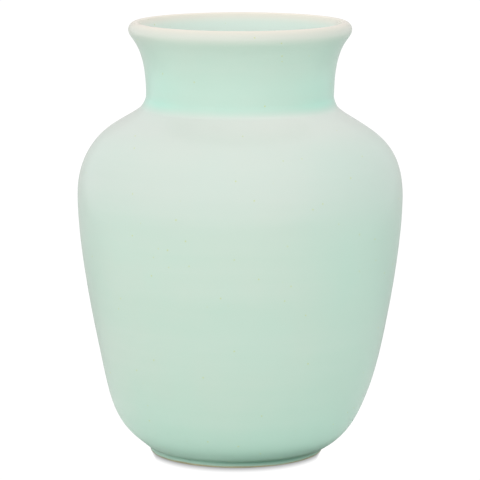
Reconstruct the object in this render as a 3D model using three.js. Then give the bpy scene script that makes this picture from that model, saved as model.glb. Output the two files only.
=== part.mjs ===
// A wheel-thrown porcelain vase with a celadon glaze: a wide flared mouth, a short waisted neck,
// a broad shoulder and a tapering body on a low turned foot ring. The fired porcelain body is one
// piece. The glass coats fused to it are modelled as the thin shells that they are: one outside,
// one inside, a thin film over the lip and a disc in the recess under the foot.
// Millimetres, +Z up, origin at the centre of the standing face.

import * as THREE from "three";

// ---- Driving dimensions ----

// Foot ring and the recess that it surrounds
const footRadius = 44.2; // outside of the ring
const footWidth = 7; // width of the ring
const footHeight = 4; // standing face to the edge where the belly springs from the foot
const footEdge = 0.4; // rounding of the ring's two bottom edges
const recessDepth = 3.2; // standing face up to the glazed ceiling of the recess
const recessCorner = 1.6; // rounding where the ring meets that ceiling
const undercut = 3.2; // how far the belly springs out past the foot
const hollowDrop = 0.8; // how far the hollow under the belly reaches down the foot

// Outside of the wall, each height counted from the one below it
const heelRise = 41; // foot to the heel, where the curve of the base straightens
const heelInset = 12.5; // heel inside the widest radius
const bellyRise = 87; // heel to the widest point
const bellyRadius = 82.5;
const shoulderRise = 44; // widest point to the collar, where the shoulder meets the neck
const collarReach = 3; // collar outside the neck's narrowest radius
const collarRise = 6.5; // collar to the narrowest point
const neckRadius = 47.5;
const neckRise = 32.4; // narrowest point to the underside of the lip
const flareReach = 8.7; // underside of the lip outside the narrowest radius

// Lip
const lipRoll = 3.9; // radius of the rounded outer side
const lipInnerRoll = 1.6; // radius of the rounded inner side

// Wall and coats
const wall = 5; // outside to inside of the glazed wall
const floorThickness = 7; // glazed ceiling of the recess to the glazed inside floor
const floorFlat = 24; // radius of the level middle of the inside floor
const coatThickness = 0.6; // glaze on the walls
const lipFilm = 0.3; // glaze over the lip
const coatGap = 0.1; // clearance between a coat and what it lies on or meets
const glazeLine = 0.6; // bare porcelain above the standing face, on the outside of the foot

// How far round the solids are cut
const segments = 36;

// ---- The section, as curves in (radius, height) ----

const point = (radius, height) => new THREE.Vector2(radius, height);

// A station is a place on the wall with its lean, in degrees outwards from straight up, and the
// lengths of the curve's handles before and after it, as shares of the distance to the next one.
const station = (radius, height, lean, arrive, leave) => ({
  at: point(radius, height),
  heading: point(Math.sin(lean * THREE.MathUtils.DEG2RAD), Math.cos(lean * THREE.MathUtils.DEG2RAD)),
  arrive,
  leave,
});

const bend = (from, to) => {
  const chord = from.at.distanceTo(to.at);
  return new THREE.CubicBezierCurve(
    from.at,
    from.at.clone().addScaledVector(from.heading, from.leave * chord),
    to.at.clone().addScaledVector(to.heading, -to.arrive * chord),
    to.at,
  );
};

// The same station seen from inside a wall of this thickness, running down instead of up.
const inside = ({ at, heading, arrive, leave }, thickness) => ({
  at: point(at.x - heading.y * thickness, at.y + heading.x * thickness),
  heading: heading.clone().negate(),
  arrive: leave,
  leave: arrive,
});

const arc = (centre, radius, startDegrees, endDegrees) =>
  new THREE.EllipseCurve(
    centre.x,
    centre.y,
    radius,
    radius,
    startDegrees * THREE.MathUtils.DEG2RAD,
    endDegrees * THREE.MathUtils.DEG2RAD,
    endDegrees < startDegrees,
  );

// Stations up the outside
const heelHeight = footHeight + heelRise;
const bellyHeight = heelHeight + bellyRise;
const collarHeight = bellyHeight + shoulderRise;
const neckHeight = collarHeight + collarRise;
const lipHeight = neckHeight + neckRise;
const lipLean = 17.5;

const spring = station(footRadius + undercut, footHeight, 54, 0.33, 0.27);
const heel = station(bellyRadius - heelInset, heelHeight, 13, 0.6, 0.17);
const belly = station(bellyRadius, bellyHeight, 0, 0.32, 0.57);
const collar = station(neckRadius + collarReach, collarHeight, -50, 0.25, 0.2);
const neck = station(neckRadius, neckHeight, 0, 0.3, 0.76);
const underLip = station(neckRadius + flareReach, lipHeight, lipLean, 0.13, 0.3);

// The lip: an outer roll to the crest, then a smaller inner roll
const lipCentre = underLip.at.clone().add(point(-underLip.heading.y, underLip.heading.x).multiplyScalar(lipRoll));
const innerLipCentre = lipCentre.clone().add(point(0, lipRoll - lipInnerRoll));
const innerLipTurn = 160; // where the inner roll hands over to the flare of the mouth
const mouth = {
  at: innerLipCentre
    .clone()
    .add(
      point(Math.cos(innerLipTurn * THREE.MathUtils.DEG2RAD), Math.sin(innerLipTurn * THREE.MathUtils.DEG2RAD))
        .multiplyScalar(lipInnerRoll),
    ),
  heading: point(
    -Math.sin(innerLipTurn * THREE.MathUtils.DEG2RAD),
    Math.cos(innerLipTurn * THREE.MathUtils.DEG2RAD),
  ),
  leave: 0.3,
};

// Stations down the inside
const innerNeck = inside(neck, wall);
const innerCollar = inside(collar, wall);
const innerBelly = inside(belly, wall);
const innerHeel = inside(heel, wall);
const floorHeight = recessDepth + floorThickness;
const floorRim = { at: point(floorFlat, floorHeight), heading: point(-1, 0), arrive: 0.5 };
innerNeck.arrive = 0.5;
innerHeel.leave = 0.45;

// ---- Sampled lines, each point with the normal that faces out of the porcelain ----

const sample = (curve, steps) =>
  Array.from({ length: steps + 1 }, (_, i) => {
    const at = curve.getPoint(i / steps);
    const along = curve.getTangent(i / steps);
    return { at, normal: point(along.y, -along.x) };
  });

// Joins sampled curves that meet, and leaves out the repeated points.
const joined = (...lines) => lines.flatMap((line, i) => (i ? line.slice(1) : line));

// The line shortened at its two ends, so that neighbouring coats don't touch.
const trimmed = (line, atStart, atEnd) => {
  const moved = (end, next, gap) => ({
    at: end.at.clone().add(next.at.clone().sub(end.at).setLength(gap)),
    normal: end.normal,
  });
  const last = line.length - 1;
  const first = atStart ? moved(line[0], line[1], atStart) : line[0];
  const final = atEnd ? moved(line[last], line[last - 1], atEnd) : line[last];
  return [first, ...line.slice(1, last), final];
};

const sunk = (line, depth) => line.map(({ at, normal }) => at.clone().addScaledVector(normal, -depth));

// The outside, from the glaze line on the foot to the underside of the lip. The foot's upright
// face turns out under the belly in a small hollow, where the glaze pools.
const footFace = new THREE.QuadraticBezierCurve(
  point(footRadius, glazeLine),
  point(footRadius, footHeight - hollowDrop),
  spring.at,
);
const outsideLine = joined(
  sample(footFace, 3),
  sample(bend(spring, heel), 5),
  sample(bend(heel, belly), 4),
  sample(bend(belly, collar), 7),
  sample(bend(collar, neck), 2),
  sample(bend(neck, underLip), 4),
);
const lipLine = joined(
  sample(arc(lipCentre, lipRoll, -lipLean, 90), 5),
  sample(arc(innerLipCentre, lipInnerRoll, 90, innerLipTurn), 2),
);
const insideLine = [
  ...joined(
    sample(bend(mouth, innerNeck), 3),
    sample(bend(innerNeck, innerCollar), 2),
    sample(bend(innerCollar, innerBelly), 6),
    sample(bend(innerBelly, innerHeel), 4),
    sample(bend(innerHeel, floorRim), 5),
  ),
  { at: point(0, floorHeight), normal: point(0, 1) },
];

// The ceiling of the recess, from the axis out to the inside of the foot ring
const ringInside = footRadius - footWidth;
const recessLine = [
  { at: point(0, recessDepth), normal: point(0, -1) },
  ...sample(arc(point(ringInside - recessCorner, recessDepth - recessCorner), recessCorner, 90, 0), 2),
];

// ---- The solids ----

const celadon = new THREE.MeshStandardMaterial({ color: 0xc3e0d0, roughness: 0.12, metalness: 0 });
const thinGlaze = new THREE.MeshStandardMaterial({ color: 0xefe6d6, roughness: 0.15, metalness: 0 });
const porcelain = new THREE.MeshStandardMaterial({ color: 0xe6dac3, roughness: 0.6, metalness: 0 });

const turned = (name, outline, material) => {
  const geometry = new THREE.LatheGeometry(outline, segments);
  geometry.rotateX(Math.PI / 2);
  const mesh = new THREE.Mesh(geometry, material);
  mesh.name = name;
  return mesh;
};

const closed = (outline) => [...outline, outline[0].clone()];

// A coat is the band between its line and the same line sunk by the coat's thickness. A coat that
// reaches the axis has an outline that starts and ends there, so it isn't closed.
function outerGlaze() {
  const line = trimmed(outsideLine, 0, coatGap);
  return turned("outer_glaze", closed([...sunk(line, 0), ...sunk(line, coatThickness).reverse()]), celadon);
}

function lipGlaze() {
  return turned("lip_glaze", closed([...sunk(lipLine, 0), ...sunk(lipLine, lipFilm).reverse()]), thinGlaze);
}

function innerGlaze() {
  const line = trimmed(insideLine, coatGap, 0);
  return turned("inner_glaze", [...sunk(line, coatThickness).reverse(), ...sunk(line, 0)], celadon);
}

function baseGlaze() {
  return turned("base_glaze", [...sunk(recessLine, 0), ...sunk(recessLine, coatThickness).reverse()], celadon);
}

// The fired body lies under every coat, and stands bare on the rounded bottom of the foot ring.
function porcelainBody() {
  const bed = coatThickness + coatGap;
  const footBottom = [
    ...sunk(sample(arc(point(ringInside + footEdge, footEdge), footEdge, 180, 270), 2), 0),
    ...sunk(sample(arc(point(footRadius - footEdge, footEdge), footEdge, 270, 360), 2), 0),
    point(footRadius, glazeLine - coatGap),
  ];
  const outline = [
    ...sunk(recessLine, bed),
    point(ringInside + bed, recessDepth - recessCorner - coatGap),
    point(ringInside, recessDepth - recessCorner - coatGap),
    ...footBottom,
    point(footRadius - bed, glazeLine - coatGap),
    ...sunk(outsideLine, bed).slice(1),
    ...sunk(lipLine, lipFilm + coatGap),
    ...sunk(insideLine, bed),
  ];
  return turned("porcelain_body", outline, porcelain);
}

const vase = new THREE.Group();
vase.add(porcelainBody(), outerGlaze(), lipGlaze(), innerGlaze(), baseGlaze());

export default vase;
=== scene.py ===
"""A wheel-thrown porcelain vase in a pale celadon glaze, on a white studio floor.

The porcelain and its four glaze coats are surfaces of revolution worked out with numpy. One long
section runs from the foot up the outside, over the lip and down the inside, and three of the coats
are stretches of it with the thickness of the glaze. The fourth lies in the recess under the foot. A
thrower's hand shows in a slow drift of the axis, in faint finger rings and in a glaze line that
wavers. Metres, +Z up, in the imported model's frame.
"""

import bpy
import numpy as np
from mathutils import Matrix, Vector


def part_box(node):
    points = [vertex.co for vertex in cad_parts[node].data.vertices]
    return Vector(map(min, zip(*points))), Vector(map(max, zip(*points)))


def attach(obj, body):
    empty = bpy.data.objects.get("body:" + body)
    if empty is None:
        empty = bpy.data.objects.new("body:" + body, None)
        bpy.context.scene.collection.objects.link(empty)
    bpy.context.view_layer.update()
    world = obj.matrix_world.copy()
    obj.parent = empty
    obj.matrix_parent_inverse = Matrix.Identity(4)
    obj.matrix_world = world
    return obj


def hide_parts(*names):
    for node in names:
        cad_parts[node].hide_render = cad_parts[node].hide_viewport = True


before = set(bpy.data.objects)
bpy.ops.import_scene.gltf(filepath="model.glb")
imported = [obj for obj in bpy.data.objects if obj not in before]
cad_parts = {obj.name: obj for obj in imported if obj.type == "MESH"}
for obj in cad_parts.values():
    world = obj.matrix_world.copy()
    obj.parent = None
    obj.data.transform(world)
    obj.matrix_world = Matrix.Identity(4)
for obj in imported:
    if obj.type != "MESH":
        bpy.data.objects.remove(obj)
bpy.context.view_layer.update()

MM = 0.001

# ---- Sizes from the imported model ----

body_low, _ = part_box("porcelain_body")
outer_low, outer_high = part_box("outer_glaze")
inner_low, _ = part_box("inner_glaze")
_, base_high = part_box("base_glaze")

COAT = 0.6 * MM  # glaze on the walls
TABLE_LEVEL = body_low.z
GLAZE_LINE = outer_low.z - TABLE_LEVEL
BELLY_RADIUS = outer_high.x
INNER_FLOOR = inner_low.z + COAT
RECESS_CEILING = base_high.z - COAT
RING_INSIDE = base_high.x - COAT

# ---- Sizes of the section ----

FOOT_HEIGHT = 4 * MM
FOOT_RADIUS = RING_INSIDE + 7 * MM
FOOT_EDGE = 0.4 * MM
HOLLOW_DROP = 0.8 * MM
UNDERCUT = 3.2 * MM
HEEL_HEIGHT = FOOT_HEIGHT + 41 * MM
HEEL_INSET = 12.5 * MM
BELLY_HEIGHT = HEEL_HEIGHT + 87 * MM
COLLAR_HEIGHT = BELLY_HEIGHT + 44 * MM
NECK_HEIGHT = COLLAR_HEIGHT + 6.5 * MM
NECK_RADIUS = BELLY_RADIUS - 35 * MM
COLLAR_REACH = 3 * MM
LIP_HEIGHT = NECK_HEIGHT + 32.4 * MM
FLARE_REACH = 8.7 * MM
LIP_LEAN = 17.5
LIP_ROLL = 3.9 * MM
LIP_INNER_ROLL = 1.6 * MM
INNER_LIP_TURN = 160
WALL = 5 * MM
FLOOR_FLAT = 24 * MM
RECESS_CORNER = 1.6 * MM
BARE_STEP = 0.12 * MM  # how far the glaze stands proud of the bare ring

# ---- What the thrower's hand leaves, and how finely the surfaces are cut ----

AXIS_SHIFT = 0.32 * MM  # the whole vase, to the right
COLLAR_DRIFT = -1.15 * MM  # on top of the shift
HEEL_DRIFT = -1.3 * MM
FOOT_DRIFT = -1.6 * MM
FINGER_DEPTH = 0.006 * MM
FINGER_FADE = 20 * MM  # the finger rings die away inside this radius
WAVER_REACH = 3 * MM  # how far up the foot the glaze line's waver shows
TAPER = 2.5 * MM  # where the glaze thins towards a bare edge

AROUND = 360  # columns round every turned piece
COAT_BACK_STEP = 4  # the hidden back of a coat keeps every fourth row
BODY_STEP = 3  # the porcelain under the glaze keeps every third row
BODY_SEEN = 8  # rows of porcelain beside the foot ring that keep them all


# ---- The section, as lines of (radius, height) ----


def heading(lean):
    """The direction that leans this many degrees outwards from straight up."""
    return np.array([np.sin(np.radians(lean)), np.cos(np.radians(lean))])


def station(radius, height, lean, arrive, leave):
    """A place on the wall, its direction, and the lengths of the curve's handles on both sides of it."""
    return np.array([radius, height]), heading(lean), arrive, leave


def bend(start, end, steps):
    """A cubic curve from one station to the next: each handle is a share of the straight distance."""
    (a, lean_a, _, leave), (b, lean_b, arrive, _) = start, end
    chord = np.linalg.norm(b - a)
    t = np.linspace(0, 1, steps + 1)[:, None]
    near, far = a + lean_a * leave * chord, b - lean_b * arrive * chord
    return (1 - t) ** 3 * a + 3 * (1 - t) ** 2 * t * near + 3 * (1 - t) * t**2 * far + t**3 * b


def arc(centre, radius, start, end, steps):
    """Points at this radius from the centre, from one angle in degrees to the other."""
    turn = np.radians(np.linspace(start, end, steps + 1))[:, None]
    return centre + radius * np.hstack([np.cos(turn), np.sin(turn)])


def inside(place, thickness):
    """The same station on the inner side of a wall, with the line running down instead of up."""
    at, direction, arrive, leave = place
    return at + thickness * np.array([-direction[1], direction[0]]), -direction, leave, arrive


def joined(*lines):
    """Lines that meet, as one line without the repeated points."""
    return np.vstack([lines[0], *[line[1:] for line in lines[1:]]])


SPRING = station(FOOT_RADIUS + UNDERCUT, FOOT_HEIGHT, 54, 0.33, 0.27)
HEEL = station(BELLY_RADIUS - HEEL_INSET, HEEL_HEIGHT, 13, 0.6, 0.17)
BELLY = station(BELLY_RADIUS, BELLY_HEIGHT, 0, 0.32, 0.57)
COLLAR = station(NECK_RADIUS + COLLAR_REACH, COLLAR_HEIGHT, -50, 0.25, 0.2)
NECK = station(NECK_RADIUS, NECK_HEIGHT, 0, 0.3, 0.76)
UNDER_LIP = station(NECK_RADIUS + FLARE_REACH, LIP_HEIGHT, LIP_LEAN, 0.13, 0.3)


def foot_face(steps):
    """A quadratic curve: straight up the foot ring, then out under the belly in a small hollow."""
    t = np.linspace(0, 1, steps + 1)[:, None]
    low, turn = np.array([FOOT_RADIUS, GLAZE_LINE]), np.array([FOOT_RADIUS, FOOT_HEIGHT - HOLLOW_DROP])
    return (1 - t) ** 2 * low + 2 * (1 - t) * t * turn + t**2 * SPRING[0]


def glazed_section():
    """The whole glazed line, and the rows where the outer coat ends and where the lip ends."""
    lip_centre = UNDER_LIP[0] + LIP_ROLL * np.array([-UNDER_LIP[1][1], UNDER_LIP[1][0]])
    inner_centre = lip_centre + np.array([0, LIP_ROLL - LIP_INNER_ROLL])
    mouth_turn = np.radians(INNER_LIP_TURN)
    mouth_at = inner_centre + LIP_INNER_ROLL * np.array([np.cos(mouth_turn), np.sin(mouth_turn)])
    mouth = (mouth_at, np.array([-np.sin(mouth_turn), np.cos(mouth_turn)]), 0, 0.3)
    inner_neck = inside(NECK, WALL)[:2] + (0.5, 0.3)
    inner_heel = inside(HEEL, WALL)[:3] + (0.45,)
    floor_rim = (np.array([FLOOR_FLAT, INNER_FLOOR]), np.array([-1.0, 0.0]), 0.5, 0)
    outside = joined(
        foot_face(14),
        bend(SPRING, HEEL, 30),
        bend(HEEL, BELLY, 42),
        bend(BELLY, COLLAR, 44),
        bend(COLLAR, NECK, 10),
        bend(NECK, UNDER_LIP, 26),
    )
    lip = joined(
        arc(lip_centre, LIP_ROLL, -LIP_LEAN, 90, 18),
        arc(inner_centre, LIP_INNER_ROLL, 90, INNER_LIP_TURN, 8),
    )
    down = joined(
        bend(mouth, inner_neck, 26),
        bend(inner_neck, inside(COLLAR, WALL), 9),
        bend(inside(COLLAR, WALL), inside(BELLY, WALL), 32),
        bend(inside(BELLY, WALL), inner_heel, 28),
        bend(inner_heel, floor_rim, 26),
        np.linspace([FLOOR_FLAT, INNER_FLOOR], [0, INNER_FLOOR], 9),
    )
    lip_starts = len(outside) - 1
    lip_ends = lip_starts + len(lip) - 1
    return joined(outside, lip, down), lip_starts, lip_ends


def recess_section():
    """The glazed ceiling under the foot, from the axis out to the inside of the ring."""
    corner = np.array([RING_INSIDE - RECESS_CORNER, RECESS_CEILING - RECESS_CORNER])
    flat = np.linspace([0, RECESS_CEILING], [corner[0], RECESS_CEILING], 13)
    return joined(flat, arc(corner, RECESS_CORNER, 90, 0, 8))


def bare_ring_section():
    """The bottom of the foot ring between its two glaze lines, with both edges rounded."""
    step_in, step_out = RING_INSIDE + BARE_STEP, FOOT_RADIUS - BARE_STEP
    return joined(
        arc(np.array([step_in + FOOT_EDGE, FOOT_EDGE]), FOOT_EDGE, 180, 270, 6),
        np.linspace([step_in + FOOT_EDGE, 0], [step_out - FOOT_EDGE, 0], 9),
        arc(np.array([step_out - FOOT_EDGE, FOOT_EDGE]), FOOT_EDGE, 270, 360, 6),
    )


# ---- From a line to a thrown surface ----


def hump(height, middle, width):
    """A smooth hump of height 1 at the middle."""
    return np.exp(-(((height - middle) / width) ** 2))


def drift(height):
    """How far the axis wanders sideways: a shift, with a hump at the collar, the heel and the foot."""
    collar = COLLAR_DRIFT * hump(height, middle=COLLAR_HEIGHT - 7.5 * MM, width=9 * MM)
    heel = HEEL_DRIFT * hump(height, middle=20 * MM, width=19 * MM)
    foot = FOOT_DRIFT * hump(height, middle=0, width=4 * MM)
    return AXIS_SHIFT + collar + heel + foot


def finger_rings(height, turn):
    """Ridges left by the thrower's fingers: four waves that climb slowly as they go round."""
    waves = [(5.3, 0.3, 0.9), (8.9, 1.7, 1.2), (13.7, 4.1, 1.6), (31.0, 2.2, 2.4)]
    total = 0
    for length, phase, size in waves:
        total = total + size * np.sin(2 * np.pi * height / (length * MM) + phase - turn)
    return FINGER_DEPTH * total


def thrown(line):
    """The line turned round the axis as a grid of points, with the drift and the finger rings."""
    radius, height = line[:, :1], line[:, 1:]
    turn = np.linspace(0, 2 * np.pi, AROUND, endpoint=False)[None, :]
    ringed = radius + finger_rings(height, turn) * np.clip(radius / FINGER_FADE, 0, 1)
    ringed = ringed * (radius > 0)
    x = ringed * np.cos(turn) + drift(height)
    y = ringed * np.sin(turn)
    return np.stack([x, y, height + 0 * turn], axis=2)


def facing(grid, pole_normal=None):
    """The surface's own normals: the cross product of the slopes round and along the grid."""
    around = np.roll(grid, -1, axis=1) - np.roll(grid, 1, axis=1)
    along = np.gradient(grid, axis=0)
    normal = np.cross(around, along)
    length = np.linalg.norm(normal, axis=2, keepdims=True)
    normal = normal / np.maximum(length, 1e-15)
    if pole_normal is not None:
        normal[-1] = pole_normal
    return normal


def mesh_of(name, rows, normals, looped, fields):
    """A closed mesh from rows of a grid. A looped one joins its last row to its first; otherwise the
    first and last rows are single points on the axis, and the rows next to them are fans."""
    count, columns = rows.shape[:2]
    index = np.arange(count * columns).reshape(count, columns)
    if not looped:
        index[0], index[-1] = index[0, 0], index[-1, 0]
    lower, upper = (index, np.roll(index, -1, axis=0)) if looped else (index[:-1], index[1:])
    a, b = lower, np.roll(lower, -1, axis=1)
    d, c = upper, np.roll(upper, -1, axis=1)
    quads = np.stack([a, b, c, d], axis=2).reshape(-1, 4)
    used, flat = np.unique(quads, return_inverse=True)
    quads = flat.reshape(quads.shape)
    first = quads[:, 0] == quads[:, 1]
    last = quads[:, 2] == quads[:, 3]
    faces = [*quads[first][:, [0, 2, 3]].tolist(), *quads[last][:, [0, 1, 2]].tolist()]
    faces += quads[~first & ~last].tolist()
    mesh = bpy.data.meshes.new(name)
    mesh.from_pydata(rows.reshape(-1, 3)[used], [], faces)
    mesh.polygons.foreach_set("use_smooth", np.ones(len(mesh.polygons), bool))
    for field, values in fields.items():
        spread = np.broadcast_to(values, (count, columns)).reshape(-1)[used]
        mesh.attributes.new(field, "FLOAT", "POINT").data.foreach_set("value", spread.astype(np.float32))
    mesh.normals_split_custom_set_from_vertices(normals.reshape(-1, 3)[used])
    piece = bpy.data.objects.new(name, mesh)
    bpy.context.scene.collection.objects.link(piece)
    return piece


def coat_depth(line, ends):
    """Glaze thickness along a line: full on the walls, and down to the bare step near a glaze line."""
    run = np.r_[0, np.cumsum(np.linalg.norm(np.diff(line, axis=0), axis=1))]
    gone = run if ends == "start" else run[-1] - run
    ease = np.clip(gone / TAPER, 0, 1)
    ease = ease * ease * (3 - 2 * ease)
    return (BARE_STEP + (COAT - BARE_STEP) * ease)[:, None, None]


def sunk(surface):
    """The back of a coat: its surface moved in by the glaze's depth."""
    front, normal, depth, _ = surface
    return front - normal * depth


def every(step, first, last):
    """Row numbers from the first to the last, this far apart, and the last one always among them."""
    return np.unique(np.r_[np.arange(first, last, step), last])


def coat(name, node, surface, pole=None):
    """A coat: the surface in front, and behind it the same surface sunk by the glaze's depth. Its
    grid closes on itself, or has its pole on the axis at the first or the last row."""
    front, normal, _, fields = surface
    back = every(COAT_BACK_STEP, 0, len(front) - 1)[::-1]
    back_first = len(back) if pole == "last" else 0

    def front_and_back(ahead, behind):
        return np.roll(np.vstack([ahead, behind]), back_first, axis=0)

    rows = front_and_back(front, sunk(surface)[back])
    normals = front_and_back(normal, -normal[back])
    both = {field: front_and_back(values, values[back]) for field, values in fields.items()}
    return finished(mesh_of(name, rows, normals, pole is None, both), node)


def finished(piece, node):
    """Hangs the piece on the root body and hides the imported part that it replaces."""
    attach(piece, "root")
    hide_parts(node)
    return piece


def vase_surfaces():
    """The three glazed stretches of the long section, each as (points, normals, depth, fields)."""
    line, lip_starts, lip_ends = glazed_section()
    grid = thrown(line)
    turn = np.linspace(0, 2 * np.pi, AROUND, endpoint=False)
    waver = 0.14 + 0.14 * np.sin(3 * turn + 1.1) + 0.09 * np.sin(8 * turn + 0.4) + 0.05 * np.sin(19 * turn)
    near_foot = np.clip(1 - (line[:, 1] - GLAZE_LINE) / WAVER_REACH, 0, 1)
    near_foot[lip_starts:] = 0
    grid[:, :, 2] += near_foot[:, None] ** 2 * waver * MM
    normal = facing(grid, pole_normal=(0, 0, 1))
    depth = coat_depth(line, "start")
    fields = glaze_fields(line, lip_starts, lip_ends)

    def stretch(first, last):
        rows = slice(first, last + 1)
        return grid[rows], normal[rows], depth[rows], {k: v[rows, None] for k, v in fields.items()}

    last_row = len(line) - 1
    return stretch(0, lip_starts), stretch(lip_starts, lip_ends), stretch(lip_ends, last_row)


def glaze_fields(line, lip_starts, lip_ends):
    """Where the glaze has run thick and thin, as smooth humps over the height or, on the lip, over the
    run along the line. It pools in the foot's hollow, at the heel, in the angle of the neck and under
    the lip, and it is thin below the collar, over the lip and at the glaze line. Some fields also
    carry painted light: painted shade in and above the foot's hollow, a painted highlight on the thin
    glaze below the collar, a band of painted shade lower on the shoulder, painted light on the inside
    and a painted highlight where the lip turns in."""
    height = line[:, 1]
    row = np.arange(len(line))
    outer, inner = row <= lip_starts, row >= lip_ends
    run = np.r_[0, np.cumsum(np.linalg.norm(np.diff(line, axis=0), axis=1))]
    crest_row = np.argmax(height)
    # pooled glaze in the groove under the belly, and a wider hump above it, darkened as painted shade near
    # the table
    hollow = 0.7 * hump(height, middle=3.2 * MM, width=1.6 * MM)
    pool_and_shade_above_hollow = 0.4 * hump(height, middle=5.8 * MM, width=4.5 * MM)
    neck = hump(height, middle=NECK_HEIGHT + 6 * MM, width=11 * MM)
    under_lip = 0.15 * hump(height, middle=LIP_HEIGHT - 8 * MM, width=6 * MM)
    # the pale shoulder below the collar is thin glaze with a painted highlight that fades downwards
    thin_and_highlight_at = COLLAR_HEIGHT - 0.8 * MM
    fading_thin_and_highlight = 0.6 * hump(height, thin_and_highlight_at, width=10 * MM) + 0.4 * hump(height, thin_and_highlight_at, width=36 * MM)
    crest_at, crest_width = run[crest_row], np.where(row < crest_row, 6 * MM, 3 * MM)
    return {
        # pooled glaze with painted shade at the foot
        "foot_pool_and_shade": outer * (hollow + pool_and_shade_above_hollow),
        "heel_pool": outer * hump(height, middle=8 * MM, width=20 * MM),
        "collar_pool": outer * hump(height, middle=NECK_HEIGHT - 1.5 * MM, width=2.4 * MM),
        "neck_pool": outer * (neck + under_lip),
        # thin glaze with a painted highlight
        "shoulder": outer * np.where(height < thin_and_highlight_at, fading_thin_and_highlight, hump(height, thin_and_highlight_at, width=3 * MM)),
        # painted shade: a greyer, darker band lower on the shoulder
        "shoulder_shade": outer * hump(height, middle=thin_and_highlight_at - 28 * MM, width=21 * MM),
        "crest": hump(run, crest_at, crest_width),
        "skirt": hump(run, middle=crest_at - 5 * MM, width=2.8 * MM),
        # painted highlight where the lip turns in
        "mouth": hump(run, middle=run[lip_ends], width=3 * MM),
        "bare_edge": outer * hump(height, GLAZE_LINE, width=0.3 * MM),
        # painted light: the inside is painted paler
        "inner": inner * 1.0,
    }


def recess_surface():
    """The glazed ceiling of the recess, as (points, normals, depth, fields)."""
    line = recess_section()
    grid = thrown(line)
    normal = facing(grid)
    normal[0] = (0, 0, -1)
    radius, height = line[:, :1], line[:, 1:]
    zero = np.zeros_like(height)
    edge = np.clip((RECESS_CEILING - height) / (2 * MM), 0, 1)
    elsewhere = ("heel_pool", "collar_pool", "neck_pool", "shoulder", "shoulder_shade", "skirt", "mouth")
    fields = dict.fromkeys(elsewhere, zero) | {
        "foot_pool_and_shade": 0.35 * hump(radius, RING_INSIDE, width=3 * MM),
        "crest": 0.25 * edge,
        "bare_edge": hump(height, RECESS_CEILING - RECESS_CORNER, width=0.35 * MM),
        # painted light: the recess gets the paler colour of the inside
        "inner": zero + 1,
    }
    return grid, normal, coat_depth(line, "end"), fields


def porcelain_body(glazed, recess):
    """The fired body: the backs of the coats, with the bare bottom of the foot ring between them."""
    outside, lip, down = [sunk(surface) for surface in glazed]
    wall = np.vstack([outside, lip[1:], down[1:]])
    under_glaze = wall[every(BODY_STEP, BODY_SEEN, len(wall) - 1)]
    rows = np.vstack([sunk(recess), thrown(bare_ring_section()), wall[:BODY_SEEN], under_glaze])
    normals = facing(rows, pole_normal=(0, 0, 1))
    normals[0] = (0, 0, -1)
    body = mesh_of("thrown_porcelain", rows, normals, False, {})
    return finished(body, "porcelain_body")


# ---- Finishes ----


class Value:
    """A shader socket that takes part in sums, so that a mask reads as its formula."""

    def __init__(self, finish, socket):
        self.finish, self.socket = finish, socket

    def _sum(self, operation, *terms):
        sockets = dict(enumerate(terms))
        return self.finish.node("ShaderNodeMath", {"operation": operation}, sockets)["Value"]

    def __add__(self, other):
        return self._sum("ADD", self, other)

    def __sub__(self, other):
        return self._sum("SUBTRACT", self, other)

    def __rsub__(self, other):
        return self._sum("SUBTRACT", other, self)

    def __mul__(self, other):
        return self._sum("MULTIPLY", self, other)

    def __pow__(self, other):
        return self._sum("POWER", self, other)

    def at_least(self, floor):
        return self._sum("MAXIMUM", self, floor)

    def ramp(self, low, high):
        """0 below low, 1 above high and a smooth step between them. Low may be the larger."""
        settings = {"interpolation_type": "SMOOTHSTEP"}
        sockets = {"Value": self, "From Min": low, "From Max": high}
        return self.finish.node("ShaderNodeMapRange", settings, sockets)["Result"]

    __radd__ = __add__


class Finish:
    """A material, or a world, under way: node() adds any node, and the other methods are common uses."""

    def __init__(self, name, kind="materials"):
        self.made = getattr(bpy.data, kind).new(name)
        self.made.use_nodes = True
        self.tree = self.made.node_tree
        self.tree.nodes.clear()

    def node(self, kind, settings=None, sockets=None):
        made = self.tree.nodes.new(kind)
        for key, value in (settings or {}).items():
            setattr(made, key, value)
        for key, value in (sockets or {}).items():
            if isinstance(value, Value):
                self.tree.links.new(value.socket, made.inputs[key])
            else:
                made.inputs[key].default_value = value
        return {socket.name: Value(self, socket) for socket in made.outputs if socket.enabled}

    def blend(self, share, first, second):
        """One colour turning into another as the share goes from 0 to 1."""
        return self.node("ShaderNodeMix", {"data_type": "RGBA"}, {0: share, 6: first, 7: second})["Result"]

    def field(self, name):
        return self.node("ShaderNodeAttribute", {"attribute_name": name})["Fac"]

    def place(self, stretch=(1, 1, 1), tilt=(0, 0, 0)):
        """Object coordinates, stretched and tilted."""
        at = self.node("ShaderNodeTexCoord")["Object"]
        sockets = {"Vector": at, "Rotation": tilt, "Scale": stretch}
        return self.node("ShaderNodeMapping", {}, sockets)["Vector"]

    def cloud(self, at, scale, detail=2.0, roughness=0.5):
        """Noise between 0 and 1, with this many features to the metre."""
        sockets = {"Vector": at, "Scale": scale, "Detail": detail, "Roughness": roughness}
        return self.node("ShaderNodeTexNoise", {}, sockets)["Fac"]

    def close(self, **sockets):
        """The surface shader, with its sockets' names written with underscores."""
        named = {key.replace("_", " "): value for key, value in sockets.items()}
        shader = self.node("ShaderNodeBsdfPrincipled", {}, named)["BSDF"]
        self.node("ShaderNodeOutputMaterial", {}, {"Surface": shader})
        return self.made


def colour(red, green, blue):
    return (red, green, blue, 1.0)


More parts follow.
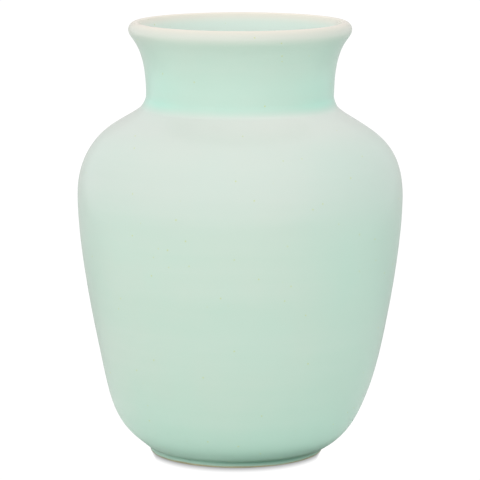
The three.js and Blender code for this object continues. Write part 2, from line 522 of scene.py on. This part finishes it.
MINT = colour(0.440, 0.575, 0.490)  # the glaze at its usual thickness
PALE_MINT = colour(0.515, 0.600, 0.535)
DEEP_MINT = colour(0.360, 0.600, 0.505)
NECK_MINT = colour(0.375, 0.670, 0.560)
COLLAR_MINT = colour(0.330, 0.700, 0.580)
POOLED_AND_SHADED = colour(0.145, 0.315, 0.235)  # in the hollow of the foot: pooled glaze, darkened further as painted shade
# painted light: the glaze inside, made paler than outside
PAINTED_LIGHT_INSIDE = colour(0.640, 0.755, 0.685)
THIN_AND_HIGHLIGHT = colour(0.715, 0.685, 0.660)  # below the collar: thin glaze with a painted highlight
# painted shade: the same pale shoulder made darker on the left
THIN_SHADED_LEFT = colour(0.630, 0.620, 0.595)
SHOULDER_SHADE = colour(0.480, 0.485, 0.478)  # painted shade, a greyer band lower on the shoulder
CREAM = colour(0.685, 0.625, 0.535)  # on the crest of the lip
MOUTH_HIGHLIGHT = colour(0.850, 0.780, 0.690)  # painted highlight where the lip turns in
SKIRT = colour(0.520, 0.515, 0.485)  # where the lip turns under
TOASTED = colour(0.370, 0.370, 0.205)  # beside the bare edge
IRON = colour(0.470, 0.530, 0.130)
SANDY = colour(0.460, 0.420, 0.270)
SCORCHED = colour(0.360, 0.325, 0.200)
DARK_GRAIN = colour(0.300, 0.240, 0.160)


def mottled(finish, across, clouds):
    """Even glaze: faint level bands from the brush and the throwing, with soft clouds, and a little
    deeper on the right."""
    tilt = (0.022, 0.014, 0)
    narrow = finish.cloud(finish.place((5, 5, 130), tilt), 1.0, 3.0, 0.6).ramp(0.35, 0.65)
    broad = finish.cloud(finish.place((4, 4, 34), tilt), 1.0, 2.0, 0.5).ramp(0.3, 0.7)
    shade = finish.blend(narrow * 0.12 + broad * 0.30, MINT, PALE_MINT)
    shade = finish.blend(clouds.ramp(0.35, 0.7) * 0.18, shade, DEEP_MINT)
    return finish.blend(across.ramp(10 * MM, 70 * MM) * 0.4, shade, DEEP_MINT)


def thinned_pooled_and_painted_light(finish, shade, across):
    """Pale and grey on the shoulder, paler inside, and teal where the glaze pools, most at the two
    flanks of the neck and on the right of the foot. The pale shoulder is thin glaze with a painted
    highlight and painted shade on its left, the grey below it is painted shade, the paler inside is
    painted light, and the foot's pool is darkened further as painted shade, most on the right."""
    # the pale shoulder: thin glaze with a painted highlight, and painted shade on the left
    thin = finish.blend(across.ramp(30 * MM, -40 * MM), THIN_AND_HIGHLIGHT, THIN_SHADED_LEFT)
    flanks = (across * across).ramp((20 * MM) ** 2, (42.4 * MM) ** 2)
    # painted shade: the foot's pool darkens more towards the right
    shaded_rightward = across.ramp(-45 * MM, 40 * MM)
    shade = finish.blend(finish.field("shoulder") * 0.7, shade, thin)
    # painted shade: a greyer band lower on the shoulder
    shade = finish.blend(finish.field("shoulder_shade") * 0.25, shade, SHOULDER_SHADE)
    # painted light: paler glaze inside
    shade = finish.blend(finish.field("inner") * 0.9, shade, PAINTED_LIGHT_INSIDE)
    shade = finish.blend(finish.field("neck_pool") * (0.2 + flanks * 0.24), shade, NECK_MINT)
    shade = finish.blend(finish.field("collar_pool") * (0.12 + flanks * 0.25), shade, COLLAR_MINT)
    shade = finish.blend(finish.field("heel_pool") * 0.4, shade, NECK_MINT)
    # pooled glaze and painted shade at the foot, darker on the right
    return finish.blend(finish.field("foot_pool_and_shade") * (0.5 + shaded_rightward * 0.8), shade, POOLED_AND_SHADED)


def run_off_and_mouth_highlight(finish, shade, clouds):
    """Cream on the crest of the lip, where the glaze has run off, a painted highlight where the lip turns
    in, and toasted at the glaze line.
    """
    shade = finish.blend(finish.field("crest") * (0.85 + clouds * 0.2), shade, CREAM)
    # painted highlight on the back rim, where the lip turns in
    shade = finish.blend(finish.field("mouth") * 0.5, shade, MOUTH_HIGHLIGHT)
    shade = finish.blend(finish.field("skirt") * 0.4, shade, SKIRT)
    return finish.blend(finish.field("bare_edge") * 0.45, shade, TOASTED)


def celadon():
    """Celadon glaze: a buttery depth that softens reflections, under a thin clear skin, with a few
    specks of iron, each the core of a Voronoi cell, and a skin that swells and ripples slightly."""
    finish = Finish("celadon")
    plain = finish.place()
    across = finish.node("ShaderNodeSeparateXYZ", {}, {"Vector": plain})["X"]
    clouds = finish.cloud(plain, 22.0, 3.0, 0.55)
    shade = mottled(finish, across, clouds)
    shade = thinned_pooled_and_painted_light(finish, shade, across)
    shade = run_off_and_mouth_highlight(finish, shade, clouds)
    cells = finish.node("ShaderNodeTexVoronoi", {}, {"Vector": plain, "Scale": 140.0})
    speck = 1 - cells["Distance"].ramp(0.037, 0.07)
    shade = finish.blend(speck * 0.75, shade, IRON)
    ripple = finish.cloud(plain, 420.0, 2.0, 0.5)
    swell = finish.cloud(plain, 60.0, 2.0, 0.4)
    heights = {"Height": ripple * 0.2 + swell, "Strength": 0.03, "Distance": 0.15 * MM}
    return finish.close(
        Base_Color=shade,
        Roughness=0.28 + ripple * 0.02 + finish.field("bare_edge") * 0.3,
        IOR=1.5,
        Coat_Weight=0.25,
        Coat_Roughness=0.08,
        Normal=finish.node("ShaderNodeBump", {}, heights)["Normal"],
    )


def fired_porcelain():
    """Bare porcelain: sandy, with soft toasted clouds and a dark, gritty grain."""
    finish = Finish("fired_porcelain")
    plain = finish.place()
    clouds = finish.cloud(plain, 90.0, 3.0, 0.6)
    grit = finish.cloud(plain, 1500.0, 2.0, 0.6)
    shade = finish.blend(clouds.ramp(0.3, 0.7), SANDY, SCORCHED)
    shade = finish.blend(grit.ramp(0.62, 0.75) * 0.5, shade, DARK_GRAIN)
    relief = finish.node("ShaderNodeBump", {}, {"Height": grit, "Strength": 0.35, "Distance": 0.2 * MM})
    return finish.close(Base_Color=shade, Roughness=0.55 + grit * 0.3, Normal=relief["Normal"])


# ---- Studio ----

TENT = 1.20  # mean brightness of the white tent round the table
TENT_SLOPE = (-0.12, -0.33, 0.0)  # brighter to the left and in front
SWEEP_GAP = 0.5 * MM  # the sweep lies this far under the foot ring


def studio_world():
    """A white tent, brighter on the left and in front, where the lamps stand behind its cloth: the
    mean brightness plus the direction's share of the slope."""
    tent = Finish("tent", "worlds")
    bpy.context.scene.world = tent.made
    direction = tent.node("ShaderNodeTexCoord")["Generated"]
    vectors = {0: direction, 1: TENT_SLOPE}
    lean = tent.node("ShaderNodeVectorMath", {"operation": "DOT_PRODUCT"}, vectors)["Value"]
    cloth = tent.node("ShaderNodeBackground", {}, {"Color": colour(1, 1, 1), "Strength": TENT + lean})
    tent.node("ShaderNodeOutputWorld", {}, {"Surface": cloth["Background"]})


def sheet_of(name, points):
    """A flat or curved sheet from a grid of points, facing up."""
    count, columns = points.shape[:2]
    index = np.arange(count * columns).reshape(count, columns)
    quads = np.stack([index[:-1, :-1], index[1:, :-1], index[1:, 1:], index[:-1, 1:]], axis=2)
    mesh = bpy.data.meshes.new(name)
    mesh.from_pydata(points.reshape(-1, 3), [], quads.reshape(-1, 4).tolist())
    mesh.polygons.foreach_set("use_smooth", np.ones(len(mesh.polygons), bool))
    sheet = bpy.data.objects.new(name, mesh)
    bpy.context.scene.collection.objects.link(sheet)
    return sheet


def sweep():
    """The white table that curves up behind: flat, then an arc of a circle, then a straight slope.
    It lights the vase and shows in its gloss, and the camera looks past it. Its colour is painted
    shade: darker behind the vase and on the right in front. It's open inside the foot ring, so that
    the recess can be seen from below."""
    half_width, front, back = 0.6, -0.6, 1.6
    curve_start, curve_end, curve_radius = 0.337, 0.723, 0.644
    across = np.linspace(-half_width, half_width, 13)[:, None]
    depth = np.linspace(front, back, 89)[None, :]
    into = np.clip(depth, curve_start, curve_end) - curve_start
    rise = curve_radius - np.sqrt(curve_radius**2 - into**2)
    slope = (curve_end - curve_start) / np.sqrt(curve_radius**2 - (curve_end - curve_start) ** 2)
    height = TABLE_LEVEL - SWEEP_GAP + rise + slope * np.clip(depth - curve_end, 0, None)
    table = sheet_of("sweep", np.stack(np.broadcast_arrays(across, depth, height), 2))
    table.visible_camera = False
    finish = Finish("table_with_painted_shade")
    spot = finish.node("ShaderNodeSeparateXYZ", {}, {"Vector": finish.place()})
    # painted shade: the table is darker behind the vase, and darker on the right in front
    shaded_rear = finish.blend(spot["Y"].ramp(0.2, 0.8), colour(0.47, 0.46, 0.455), colour(0.55, 0.54, 0.53))
    near = finish.blend(spot["X"].ramp(0.0, 0.3), colour(0.88, 0.88, 0.86), colour(0.76, 0.76, 0.74))
    shade = finish.blend(spot["Y"].ramp(-0.05, 0.25), near, shaded_rear)
    hole, soft_edge = FOOT_RADIUS - 1 * MM, 1 * MM
    from_axis = spot["X"] - drift(0)
    solid = (from_axis * from_axis + spot["Y"] * spot["Y"]).ramp((hole - soft_edge) ** 2, hole**2)
    table.data.materials.append(finish.close(Base_Color=shade, Roughness=0.6, Alpha=solid))


def floor():
    """What the camera sees of the table: overexposed white, with a soft shadow that falls forwards
    from the foot ring and fades with the distance in front of the ring's circle. It's clear from
    below, so that the underside can be looked at."""
    reach = np.linspace(-3, 3, 7)
    across, depth = np.meshgrid(reach, reach, indexing="ij")
    sheet = sheet_of("floor", np.stack([across, depth, np.full_like(across, TABLE_LEVEL)], 2))
    sheet.visible_diffuse = sheet.visible_glossy = False
    sheet.visible_transmission = sheet.visible_shadow = False
    finish = Finish("lit_white")
    spot = finish.node("ShaderNodeSeparateXYZ", {}, {"Vector": finish.place()})
    from_axis = spot["X"] - drift(0)
    half_chord = (FOOT_RADIUS**2 - from_axis * from_axis).at_least(0) ** 0.5
    in_front = (0 - spot["Y"] - half_chord).ramp(-6 * MM, 12.5 * MM)
    behind = (spot["Y"] - half_chord).ramp(-1 * MM, 3 * MM)
    beside = (from_axis * from_axis).ramp((FOOT_RADIUS - 4 * MM) ** 2, (FOOT_RADIUS + 1 * MM) ** 2)
    shadow, lit = colour(0.22, 0.23, 0.23), colour(1.05, 1.05, 1.05)
    shade = finish.blend(in_front + behind + beside, shadow, lit)
    glow = finish.node("ShaderNodeEmission", {}, {"Color": shade, "Strength": 1.0})["Emission"]
    clear = finish.node("ShaderNodeBsdfTransparent")["BSDF"]
    below = finish.node("ShaderNodeNewGeometry")["Backfacing"]
    both = finish.node("ShaderNodeMixShader", {}, {0: below, 1: glow, 2: clear})["Shader"]
    finish.node("ShaderNodeOutputMaterial", {}, {"Surface": both})
    sheet.data.materials.append(finish.made)


def camera():
    """A long lens a pace and a half away, looking a little down."""
    view = bpy.data.cameras.new("camera")
    view.lens, view.sensor_width = 219.4, 36.0
    view.clip_start, view.clip_end = 0.05, 20.0
    eye = bpy.data.objects.new("camera", view)
    sideways, away, eye_height, aim_height = 0.25 * MM, 1.470, 0.354, 0.1084
    eye.location = (sideways, -away, eye_height)
    aim = Vector((sideways, 0, aim_height))
    eye.rotation_euler = (aim - eye.location).to_track_quat("-Z", "Y").to_euler()
    bpy.context.scene.collection.objects.link(eye)
    bpy.context.scene.camera = eye


def build():
    outside, lip, down = vase_surfaces()
    recess = recess_surface()
    glaze, bare = celadon(), fired_porcelain()
    coats = [
        coat("glaze_outside", "outer_glaze", outside),
        coat("glaze_on_lip", "lip_glaze", lip),
        coat("glaze_inside", "inner_glaze", down, pole="last"),
        coat("glaze_under_foot", "base_glaze", recess, pole="first"),
    ]
    for piece in coats:
        piece.data.materials.append(glaze)
    porcelain_body((outside, lip, down), recess).data.materials.append(bare)


camera()
studio_world()
sweep()
floor()
build()

bpy.context.scene.view_settings.view_transform = "Standard"
